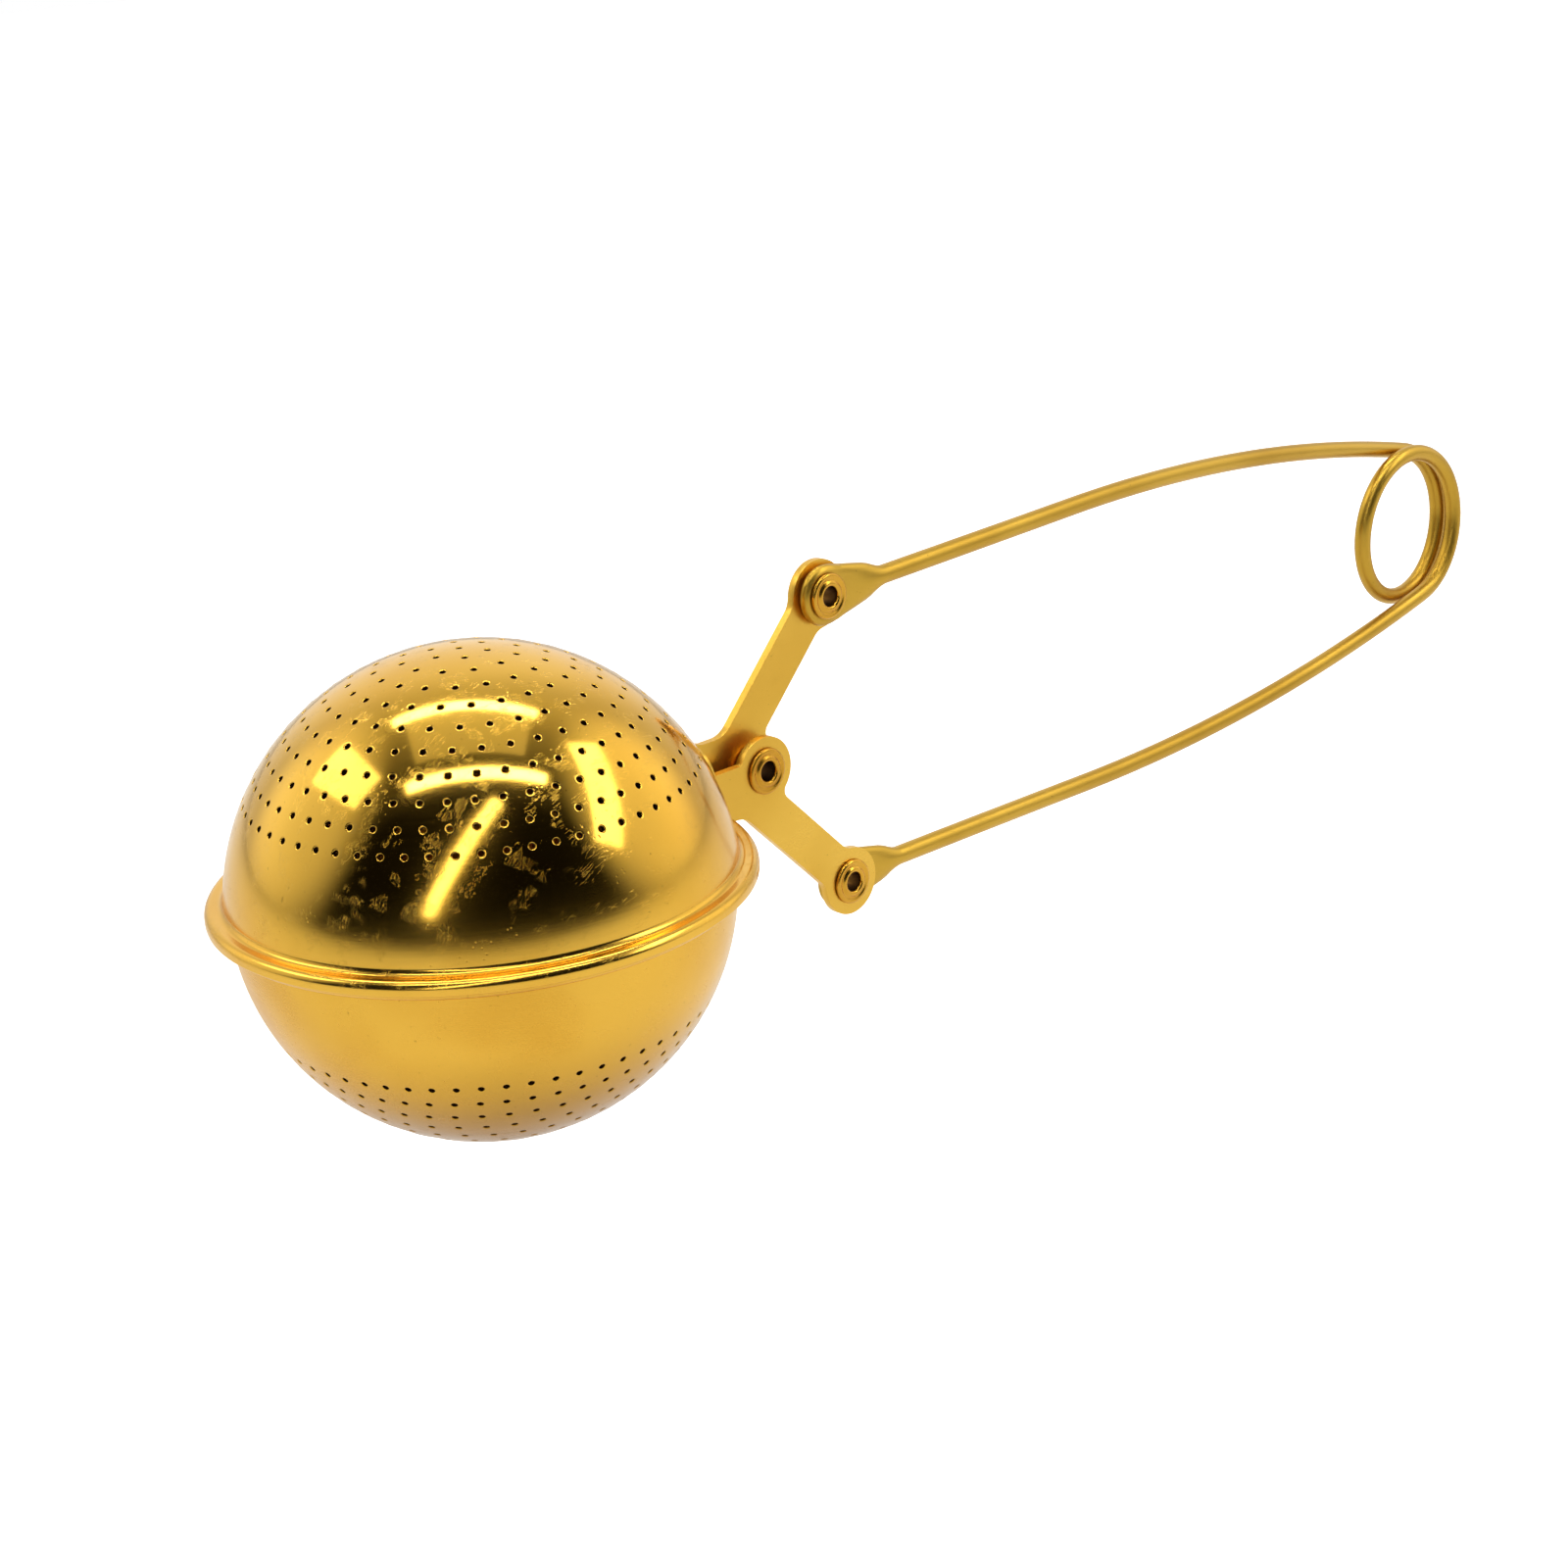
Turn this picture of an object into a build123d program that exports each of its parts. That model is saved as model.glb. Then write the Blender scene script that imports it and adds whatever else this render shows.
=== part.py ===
"""Snap-ball tea infuser: two perforated bowls on scissor levers, opened by squeezing a coiled spring-wire handle.

Frame: millimetres, +Z up. The origin is the centre of the closed ball, the bowls' common axis is Z,
and the handle runs along +X. The levers, the rivets and the wire all work in the XZ plane.

Pieces
  upper_bowl, lower_bowl      drawn sheet bowls; the upper one has a flange with a turned-down lip,
                              the lower one a rolled rim that sits inside that lip
  upper_lever, lower_lever    stamped dog-leg levers, each with a curved tab welded to its bowl
  pivot_rivet                 shouldered tubular rivet that both levers turn on
  upper_rivet, lower_rivet    tubular rivets that join the wire's flattened ends to the levers
  upper_spring_arm,           the two halves of one continuous wire, parted at the middle of its coil,
  lower_spring_arm            which is where the wire flexes
"""

from build123d import *
from math import acos, asin, atan2, cos, degrees, hypot, pi, radians, sin, sqrt
import os

# ---- bowls -------------------------------------------------------------------------------------
SHEET = 0.4  # thickness of the bowls' sheet
UPPER_RADIUS = 22.5  # outside radius of the upper bowl's sphere
UPPER_CENTRE = -0.65  # height of that sphere's centre
LOWER_RADIUS = 22.1
LOWER_CENTRE = 0.15
FLANGE_Z = 1.3  # mid-thickness height of the upper bowl's flange
FLANGE_FILLET = 0.8  # mid-thickness radius where the upper bowl turns out into its flange
LIP_RADIUS = 24.05  # outside radius of the turned-down lip
LIP_SHOULDER = 0.5
LIP_BOTTOM = 0.25
RIM_RADIUS = 23.45  # outside radius of the lower bowl's rolled rim
RIM_CURL = 0.5  # mid-thickness radius of the curl
RIM_WEB_Z = -0.25
RIM_FILLET = 0.5
RIM_CURL_END = 170  # degrees round the curl where the sheet ends

# ---- perforations: ring k of 10 has 6k holes, about one hole pitch apart -------------------------
HOLE_RADIUS = 0.3
HOLE_RINGS = 10
HOLES_PER_RING = 6
UPPER_RING_STEP, UPPER_RING_STRETCH = 6.5, 0.045  # degrees from the pole: step * k - stretch * k^2
LOWER_RING_STEP, LOWER_RING_STRETCH = 7.15, 0.088
RING_TWIST = 3.0  # degrees that each ring is turned from the one inside it

# ---- levers --------------------------------------------------------------------------------------
PIVOT_X, PIVOT_Z = 32.8, 1.7
END_X, END_Z = 10.4, 14.5  # wire rivet from the pivot, along X and away from the handle's middle
LEVER_SHEET = 0.8
LEVER_GAP = 1.3  # between the two levers' facing sides
BOSS_RADIUS = 3.3
END_BOSS_RADIUS = 3.4
ARM_WIDTH = 4.3
ARM_OFFSET = 2.7  # how far the arm's centreline passes from the pivot
ROOT_LOW, ROOT_HIGH = 3.8, 1.3  # the ball-side limb's edges, from the pivot's height
LIMB_FLARE = 2.5  # how far before the flange the limb starts to widen towards its tab
TAB_WIDTH = 9.0  # round the bowl
TAB_NEAR, TAB_FAR = 2.3, 8.2  # the tab's edges, from the seam
TAB_CORNER = 1.6
FLANGE_CLEARANCE = 0.5

# ---- rivets --------------------------------------------------------------------------------------
BARREL_RADIUS = 1.45
RIVET_BORE = 0.95
HEAD_RADIUS = 2.25
HEAD_HEIGHT = 0.45
SHOULDER_RADIUS = 2.2
RUNNING_CLEARANCE = 0.06
OPEN_PIVOT_CLEARANCE = 0.45  # in the upper paddle's hole, which takes up the linkage's lost motion
FACE_GAP = 0.08

# ---- spring wire ---------------------------------------------------------------------------------
WIRE_RADIUS = 0.95
COIL_X = 98.0  # coil's centre from the wire rivets, along X
COIL_RADIUS = 8.75
COIL_PITCH = 2.2
ARM_RISE = 1.2  # degrees, the arm's straight part against X
BOW_RADIUS = 250.0  # of the arm's curved part
COIL_SPLIT_GAP = 0.1
PADDLE_RADIUS = 3.0
PADDLE_THICKNESS = 1.1
PADDLE_SHOULDER, PADDLE_WAIST = 4.4, 2.05  # from the rivet, and the half width there
PADDLE_LENGTH = 8.2
WIRE_START = 6.6  # from the rivet, where the round wire begins

BIG = 200.0


def band(path, thickness):
    """Face of a strip of sheet whose mid-line is a tangent chain of segments in the XZ plane.

    A segment is ("arc", x, z, radius, start angle, end angle) or ("line", x0, z0, x1, z1).
    """

    def side(offset):
        edges = []
        for kind, *s in path:
            if kind == "line":
                x0, z0, x1, z1 = s
                run = hypot(x1 - x0, z1 - z0)
                nx, nz = -(z1 - z0) / run * offset, (x1 - x0) / run * offset
                edges.append(Line((x0 + nx, 0, z0 + nz), (x1 + nx, 0, z1 + nz)))
                continue
            x, z, radius, a0, a1 = s
            r = radius - offset if a1 > a0 else radius + offset
            at = [radians(a0 + (a1 - a0) * share) for share in (0, 0.5, 1)]
            edges.append(ThreePointArc(*[(x + r * cos(a), 0, z + r * sin(a)) for a in at]))
        return edges

    left, right = side(thickness / 2), side(-thickness / 2)
    caps = [Line(left[0] @ 0, right[0] @ 0), Line(left[-1] @ 1, right[-1] @ 1)]
    return make_face(left + right + caps)


def perforations(centre_z, up, step, stretch, outer):
    """Radial pins for every hole of a bowl: one at the pole, then rings of 6, 12, 18 and so on."""
    pins = []
    for ring in range(HOLE_RINGS + 1):
        polar = radians(step * ring - stretch * ring**2)
        count = max(1, HOLES_PER_RING * ring)
        for k in range(count):
            turn = 2 * pi * k / count + radians(RING_TWIST * ring)
            axis = Vector(sin(polar) * cos(turn), sin(polar) * sin(turn), up * cos(polar))
            start = Vector(0, 0, centre_z) + axis * (outer - 2 * SHEET)
            pins.append(Plane(origin=start, z_dir=axis) * Cylinder(
                HOLE_RADIUS, 3 * SHEET, align=(Align.CENTER, Align.CENTER, Align.MIN)))
    return pins


def upper_bowl():
    """Upper half of the ball: a spherical bowl, a fillet, the flange and its turned-down lip."""
    r = UPPER_RADIUS - SHEET / 2
    a = degrees(asin((FLANGE_Z + FLANGE_FILLET - UPPER_CENTRE) / (r + FLANGE_FILLET)))
    fillet_x = (r + FLANGE_FILLET) * cos(radians(a))
    shoulder_x = LIP_RADIUS - SHEET / 2 - LIP_SHOULDER
    lip_x = LIP_RADIUS - SHEET / 2
    path = [
        ("arc", 0, UPPER_CENTRE, r, 90, a),
        ("arc", fillet_x, FLANGE_Z + FLANGE_FILLET, FLANGE_FILLET, 180 + a, 270),
        ("line", fillet_x, FLANGE_Z, shoulder_x, FLANGE_Z),
        ("arc", shoulder_x, FLANGE_Z - LIP_SHOULDER, LIP_SHOULDER, 90, 0),
        ("line", lip_x, FLANGE_Z - LIP_SHOULDER, lip_x, LIP_BOTTOM),
    ]
    shell = revolve(band(path, SHEET), Axis.Z)
    return shell - perforations(UPPER_CENTRE, 1, UPPER_RING_STEP, UPPER_RING_STRETCH, UPPER_RADIUS)


def lower_bowl():
    """Lower half of the ball: a spherical bowl whose edge turns out and curls over."""
    r = LOWER_RADIUS - SHEET / 2
    b = degrees(asin((RIM_WEB_Z - RIM_FILLET - LOWER_CENTRE) / (r + RIM_FILLET)))
    fillet_x = (r + RIM_FILLET) * cos(radians(b))
    curl_x = RIM_RADIUS - SHEET / 2 - RIM_CURL
    path = [
        ("arc", 0, LOWER_CENTRE, r, -90, b),
        ("arc", fillet_x, RIM_WEB_Z - RIM_FILLET, RIM_FILLET, 180 + b, 90),
        ("line", fillet_x, RIM_WEB_Z, curl_x, RIM_WEB_Z),
        ("arc", curl_x, RIM_WEB_Z + RIM_CURL, RIM_CURL, -90, RIM_CURL_END),
    ]
    shell = revolve(band(path, SHEET), Axis.Z)
    return shell - perforations(LOWER_CENTRE, -1, LOWER_RING_STEP, LOWER_RING_STRETCH, LOWER_RADIUS)


def disc(x, z, radius, y0, y1):
    """Round plate or pin along Y from y0 to y1."""
    return Pos(x, (y0 + y1) / 2, z) * Rot(90, 0, 0) * Cylinder(radius, abs(y1 - y0))


def plate(flat, y0, y1):
    """Flat plate in the XZ plane from a face drawn in (x, z), between y0 and y1."""
    return Pos(0, max(y0, y1), 0) * Rot(90, 0, 0) * extrude(flat, amount=abs(y1 - y0))


def polygon(corners):
    """Face in (x, z) from a list of corners."""
    return make_face(Polyline(corners, close=True))


def lever(side, bowl_radius, bowl_centre):
    """Stamped lever for one bowl. side is -1 for the lower bowl's lever and 1 for the upper one's.

    Its outline is drawn from the pivot, with the arm and the limb's lower edge towards +z.
    """
    face_out = side * (LEVER_GAP / 2 + LEVER_SHEET)
    run = hypot(END_X, END_Z)
    lean = atan2(END_X, END_Z) + asin(ARM_OFFSET / run)  # of the arm, from the vertical
    along_x, along_z = sin(lean), cos(lean)
    across_x, across_z = -cos(lean) * ARM_WIDTH / 2, sin(lean) * ARM_WIDTH / 2

    def edge(way, z):
        """Point at height z on the arm's edge: way is 1 for the edge towards the ball and -1 for the other."""
        x0, z0 = END_X + way * across_x, END_Z + way * across_z
        return x0 + along_x / along_z * (z - z0), z

    to_seam = side * PIVOT_Z
    step = LIP_RADIUS + FLANGE_CLEARANCE - PIVOT_X
    root = 0.8 * bowl_radius - PIVOT_X
    corner = edge(1, ROOT_LOW)
    notch = (-sqrt(BOSS_RADIUS**2 - ROOT_HIGH**2), -ROOT_HIGH)
    crook = 0.4 * BOSS_RADIUS
    flat = polygon([
        (END_X + across_x, END_Z + across_z),
        corner,
        (step + LIMB_FLARE, ROOT_LOW),
        (root, TAB_FAR - to_seam),
        (root, TAB_NEAR - to_seam),
        (step, TAB_NEAR - to_seam),
        (step, -ROOT_HIGH),
        (notch[0] / 2, -ROOT_HIGH),
        (0, 0),
        edge(-1, crook),
        (END_X - across_x, END_Z - across_z),
    ])
    flat = flat + Circle(BOSS_RADIUS) + Pos(END_X, END_Z) * Circle(END_BOSS_RADIUS)

    rounds = [(corner, 2.5), (notch, 0.4), ((step, -ROOT_HIGH), 0.6)]
    for x, z in [(v.X, v.Y) for v in flat.vertices()]:
        if 2 < hypot(x - END_X, z - END_Z) < 1.1 * END_BOSS_RADIUS:
            rounds.append(((x, z), 2.0))
        elif x > 0 and hypot(x, z) < 1.2 * BOSS_RADIUS:
            rounds.append(((x, z), 0.9))
    for (x, z), radius in rounds:
        nearest = min(flat.vertices(), key=lambda v: hypot(v.X - x, v.Y - z))
        flat = fillet(nearest, radius)

    body = plate(flat, 0, LEVER_SHEET)
    body = body if side > 0 else Rot(180, 0, 0) * body
    body = Pos(PIVOT_X, side * LEVER_GAP / 2, PIVOT_Z) * body
    body -= Pos(0, 0, bowl_centre) * Sphere(bowl_radius + LEVER_SHEET / 2)  # its end sinks into the tab
    return body + lever_tab(side, bowl_radius, bowl_centre, face_out)


def lever_tab(side, bowl_radius, bowl_centre, face_out):
    """Curved tab that lies on the bowl and is bent from the lever's ball-side edge."""
    mid_z = side * (TAB_NEAR + TAB_FAR) / 2
    height = TAB_FAR - TAB_NEAR
    window = Box(BIG, TAB_WIDTH, height, align=(Align.MIN, Align.CENTER, Align.CENTER))
    window = fillet(window.edges().filter_by(Axis.X), TAB_CORNER)
    shell = Sphere(bowl_radius + LEVER_SHEET) - Sphere(bowl_radius)
    middle_y = face_out - side * TAB_WIDTH / 2
    return Pos(0, 0, bowl_centre) * shell & Pos(0, middle_y, mid_z) * window


def bored(body, x, z, radius):
    """body with a hole along Y."""
    return body - disc(x, z, radius, -BIG / 2, BIG / 2)


def rivet(x, z, y_low, y_high, shoulder=None):
    """Tubular rivet along Y: a barrel with a rounded head past y_low and another past y_high."""
    barrel = disc(x, z, BARREL_RADIUS, y_low, y_high)
    body = barrel
    for y0, outward in ((y_low, -1), (y_high, 1)):
        head = disc(x, z, HEAD_RADIUS, y0, y0 + outward * HEAD_HEIGHT)
        rim = head.edges().filter_by(GeomType.CIRCLE).sort_by(Axis.Y)[0 if outward < 0 else -1]
        body += fillet(rim, 0.7 * HEAD_HEIGHT)
    if shoulder:
        body += disc(x, z, SHOULDER_RADIUS, *shoulder)
    bore = disc(x, z, RIVET_BORE, y_low - 2, y_high + 2)
    body -= bore
    return body


def arm_geometry():
    """Length of an arm's straight part, the bow's centre and the angle where it meets the coil.

    Measured from the wire rivet: along X and away from the handle's middle line.
    """
    e = radians(ARM_RISE)
    reach = BOW_RADIUS - COIL_RADIUS
    low, high = 0.0, COIL_X
    for _ in range(60):
        t = (low + high) / 2
        x = t * cos(e) + BOW_RADIUS * sin(e)
        z = t * sin(e) - BOW_RADIUS * cos(e)
        if hypot(x - COIL_X, z + END_Z) > reach:
            low = t
        else:
            high = t
    meet = degrees(atan2(-END_Z - z, COIL_X - x))
    return t, x, z, meet


def wire_line(side):
    """Centreline of half the wire, from its flattened end to the middle of the coil, and that end's frame.

    side is 1 for the upper arm, whose coil end starts at +Y, and -1 for the lower one.
    """
    straight, bow_x, bow_z, meet = arm_geometry()
    e = radians(ARM_RISE)
    turn = 180 + meet - degrees(COIL_SPLIT_GAP / 2 / COIL_RADIUS)  # round the coil, from the bow to the split
    coil_y = COIL_PITCH * (180 + meet) / 360
    base = Vector(PIVOT_X + END_X, 0, PIVOT_Z + side * END_Z)

    def at(x, z, y=None):
        return base + Vector(x, side * (coil_y * (x / COIL_X) ** 2 if y is None else y), side * z)

    start = 90 + ARM_RISE  # where the bow begins, round its centre
    points = [at(t * cos(e), t * sin(e)) for t in (WIRE_START, (WIRE_START + straight) / 2, straight)]
    for k in range(1, 7):
        angle = radians(start + (meet - start) * k / 7)
        points.append(at(bow_x + BOW_RADIUS * cos(angle), bow_z + BOW_RADIUS * sin(angle)))
    steps = 18
    for k in range(steps + 1):
        angle = meet - turn * k / steps
        x = COIL_X + COIL_RADIUS * cos(radians(angle))
        z = -END_Z + COIL_RADIUS * sin(radians(angle))
        points.append(at(x, z, coil_y - COIL_PITCH * turn * k / steps / 360))
    return points, at


def spring_arm(side):
    """Half of the spring wire: a flattened, holed end, the bowed arm and half of the coil."""
    points, at = wire_line(side)
    path = Spline(*points)
    section = Plane(origin=path @ 0, z_dir=path % 0) * Circle(WIRE_RADIUS)
    return sweep(section, path=path) + paddle(side, at)


def paddle(side, at):
    """Flattened end of the wire: a round eye that tapers into the wire."""
    eye = at(0, 0)
    half = PADDLE_THICKNESS / 2
    body = disc(eye.X, eye.Z, PADDLE_RADIUS, -half, half)
    rise = side * sin(radians(ARM_RISE))
    outline = [
        (0.2 * PADDLE_RADIUS, 0.98 * PADDLE_RADIUS),
        (PADDLE_SHOULDER, PADDLE_WAIST),
        (PADDLE_LENGTH, 0.8 * WIRE_RADIUS),
    ]
    above = [(eye.X + x, eye.Z + rise * x + z) for x, z in outline]
    below = [(eye.X + x, eye.Z + rise * x - z) for x, z in reversed(outline)]
    return body + plate(polygon(above + below), -half, half)


def build():
    """Every piece, by node name."""
    outer = LEVER_GAP / 2 + LEVER_SHEET  # from the middle plane to a lever's outside
    flat = PADDLE_THICKNESS / 2
    hole = BARREL_RADIUS + RUNNING_CLEARANCE
    end_x, low_z, high_z = PIVOT_X + END_X, PIVOT_Z - END_Z, PIVOT_Z + END_Z

    levers = {
        "upper_lever": lever(1, UPPER_RADIUS, UPPER_CENTRE),
        "lower_lever": lever(-1, LOWER_RADIUS, LOWER_CENTRE),
    }
    for name, z in (("upper_lever", high_z), ("lower_lever", low_z)):
        levers[name] = bored(bored(levers[name], PIVOT_X, PIVOT_Z, hole), end_x, z, hole)

    half_gap = LEVER_GAP / 2 - FACE_GAP
    return {
        "upper_bowl": upper_bowl(),
        "lower_bowl": lower_bowl(),
        **levers,
        "pivot_rivet": rivet(PIVOT_X, PIVOT_Z, -outer - FACE_GAP, outer + FACE_GAP, (-half_gap, half_gap)),
        "upper_rivet": rivet(end_x, high_z, -flat - FACE_GAP, outer + FACE_GAP),
        "lower_rivet": rivet(end_x, low_z, -outer - FACE_GAP, flat + FACE_GAP),
        "upper_spring_arm": bored(spring_arm(1), end_x, high_z, BARREL_RADIUS + OPEN_PIVOT_CLEARANCE),
        "lower_spring_arm": bored(spring_arm(-1), end_x, low_z, hole),
    }


os.makedirs("parts", exist_ok=True)
for node, shape in build().items():
    export_step(shape, f"parts/{node}.step")
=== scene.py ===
"""Looks of the snap-ball tea infuser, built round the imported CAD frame.

Shapes are worked out in millimetres in the row's frame and put into meshes in metres.
The perforated bowls, the rivets and the one-piece spring wire are built here and replace their CAD nodes.
The levers are the CAD nodes themselves, with softened edges.
"""

import math

import bpy
import numpy as np
from mathutils import Matrix, Vector
from mathutils.geometry import delaunay_2d_cdt


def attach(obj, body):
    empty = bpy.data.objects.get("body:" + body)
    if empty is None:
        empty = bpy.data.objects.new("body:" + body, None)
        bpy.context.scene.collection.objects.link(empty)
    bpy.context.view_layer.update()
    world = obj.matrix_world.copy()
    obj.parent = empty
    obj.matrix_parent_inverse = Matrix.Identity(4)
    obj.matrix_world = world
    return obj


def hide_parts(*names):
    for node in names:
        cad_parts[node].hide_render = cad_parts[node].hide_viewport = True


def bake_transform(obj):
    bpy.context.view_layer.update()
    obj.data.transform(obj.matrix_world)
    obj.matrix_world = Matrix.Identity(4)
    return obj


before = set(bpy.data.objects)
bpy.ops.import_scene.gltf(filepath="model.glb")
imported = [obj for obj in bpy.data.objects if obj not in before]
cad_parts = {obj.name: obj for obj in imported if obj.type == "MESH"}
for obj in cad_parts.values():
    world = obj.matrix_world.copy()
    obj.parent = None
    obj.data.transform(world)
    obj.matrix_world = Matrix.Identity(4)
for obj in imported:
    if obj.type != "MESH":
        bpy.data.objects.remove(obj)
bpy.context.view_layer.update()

MM = 0.001

# ---- dimensions, as in the CAD -------------------------------------------------------------------
SHEET = 0.4
UPPER_RADIUS, UPPER_CENTRE = 22.5, -0.65
LOWER_RADIUS, LOWER_CENTRE = 22.1, 0.15
FLANGE_Z, FLANGE_FILLET = 1.3, 0.8
LIP_RADIUS, LIP_SHOULDER, LIP_BOTTOM = 24.05, 0.5, 0.25
RIM_RADIUS, RIM_CURL, RIM_WEB_Z, RIM_FILLET, RIM_CURL_END = 23.45, 0.5, -0.25, 0.5, 170
HOLE_RINGS, HOLES_PER_RING, RING_TWIST = 10, 6, 3.0
UPPER_RINGS = (6.5, 0.045)  # degrees from the pole: step * k - stretch * k^2
LOWER_RINGS = (7.15, 0.088)
PIVOT_X, PIVOT_Z = 32.8, 1.7
END_X, END_Z = 10.4, 14.5
LEVER_SHEET, LEVER_GAP = 0.8, 1.3
BARREL_RADIUS, RIVET_BORE, HEAD_RADIUS, SHOULDER_RADIUS = 1.45, 0.95, 2.25, 2.2
FACE_GAP = 0.08
WIRE_RADIUS = 0.95
COIL_X, COIL_RADIUS, COIL_PITCH = 98.0, 8.75, 2.2
ARM_RISE, BOW_RADIUS = 1.2, 250.0
EYE_RADIUS, PADDLE_THICKNESS = 3.0, 1.1

# ---- how finely the meshes are cut ---------------------------------------------------------------
COLUMNS = 240  # round a bowl
HOLE_SIDES = 16
# Radius and depth of the dimple at each loop of points round a hole, in mm.
HOLE_LOOPS = ((0.29, 0.06), (0.305, 0.035), (0.33, 0.018), (0.37, 0.006), (0.43, 0.0))
DIMPLE_TILT = 0.6  # share of a dimple's slope that its normals show
FIELD_EDGE = 3.6  # degrees that a bowl's perforated field goes past its last ring
LINE_STEP = 0.4  # mm along a straight stretch of a bowl's section
DOME_STEP, FILLET_STEP = 2.0, 12.0  # degrees along its large and small arcs
LARGE_ARC = 5.0  # mm of radius
CAP_STEPS = 6  # round a sheet's cut edge
CURL_SHORTER = 20  # degrees that the rim's curl ends before the CAD's
RIVET_SIDES = 64


def unit(v):
    v = np.asarray(v, float)
    return v / np.linalg.norm(v, axis=-1, keepdims=True)


def new_mesh(name, points, faces, normals=None, material=None, sharp=None):
    """Mesh object from points in mm. normals has one vector for every corner of every face."""
    points = np.asarray(points, float)
    if normals is not None:
        turned_faces, turned_normals = [], []
        for face, corner in zip(faces, normals):
            p = points[list(face[:4])]
            out = np.cross(p[1] - p[0], p[2] - p[0])
            if len(p) == 4:
                out = np.cross(p[2] - p[0], p[3] - p[1])
            flip = out @ np.mean(corner, axis=0) < 0
            turned_faces.append(face[::-1] if flip else face)
            turned_normals.extend(corner[::-1] if flip else corner)
        faces = turned_faces
    mesh = bpy.data.meshes.new(name)
    mesh.from_pydata((points * MM).tolist(), [], [tuple(int(i) for i in f) for f in faces])
    mesh.polygons.foreach_set("use_smooth", [True] * len(mesh.polygons))
    if normals is not None:
        mesh.normals_split_custom_set([tuple(n) for n in turned_normals])
    elif sharp is not None:
        mesh.set_sharp_from_angle(angle=math.radians(sharp))
    mesh.update()
    obj = bpy.data.objects.new(name, mesh)
    bpy.context.scene.collection.objects.link(obj)
    if material:
        mesh.materials.append(material)
    return obj


# ---- bowls ---------------------------------------------------------------------------------------


def side_of(path, offset, flip=1):
    """(r, z, normal r, normal z) along a chain of arcs and lines, moved offset to its left."""
    rows = []
    for kind, *s in path:
        if kind == "line":
            x0, z0, x1, z1 = s
            run = math.hypot(x1 - x0, z1 - z0)
            nx, nz = -(z1 - z0) / run, (x1 - x0) / run
            steps = max(1, round(run / LINE_STEP))
            for k in range(steps + 1):
                t = k / steps
                rows.append((x0 + (x1 - x0) * t + nx * offset, z0 + (z1 - z0) * t + nz * offset, nx, nz))
            continue
        x, z, radius, a0, a1 = s
        way = -1 if a1 > a0 else 1
        r = radius + way * offset
        steps = max(8, round(abs(a1 - a0) / (DOME_STEP if radius > LARGE_ARC else FILLET_STEP)))
        for k in range(steps + 1):
            a = math.radians(a0 + (a1 - a0) * k / steps)
            rows.append((x + r * math.cos(a), z + r * math.sin(a), way * math.cos(a), way * math.sin(a)))
    kept = [rows[0]]
    for row in rows[1:]:
        if math.hypot(row[0] - kept[-1][0], row[1] - kept[-1][1]) > 1e-6:
            kept.append(row)
    rows = np.array(kept)
    rows[:, 2:] *= flip
    return rows


def field_edge(rings):
    """Degrees from the pole where a bowl's perforated field ends."""
    step, stretch = rings
    return step * HOLE_RINGS - stretch * HOLE_RINGS**2 + FIELD_EDGE


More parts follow.
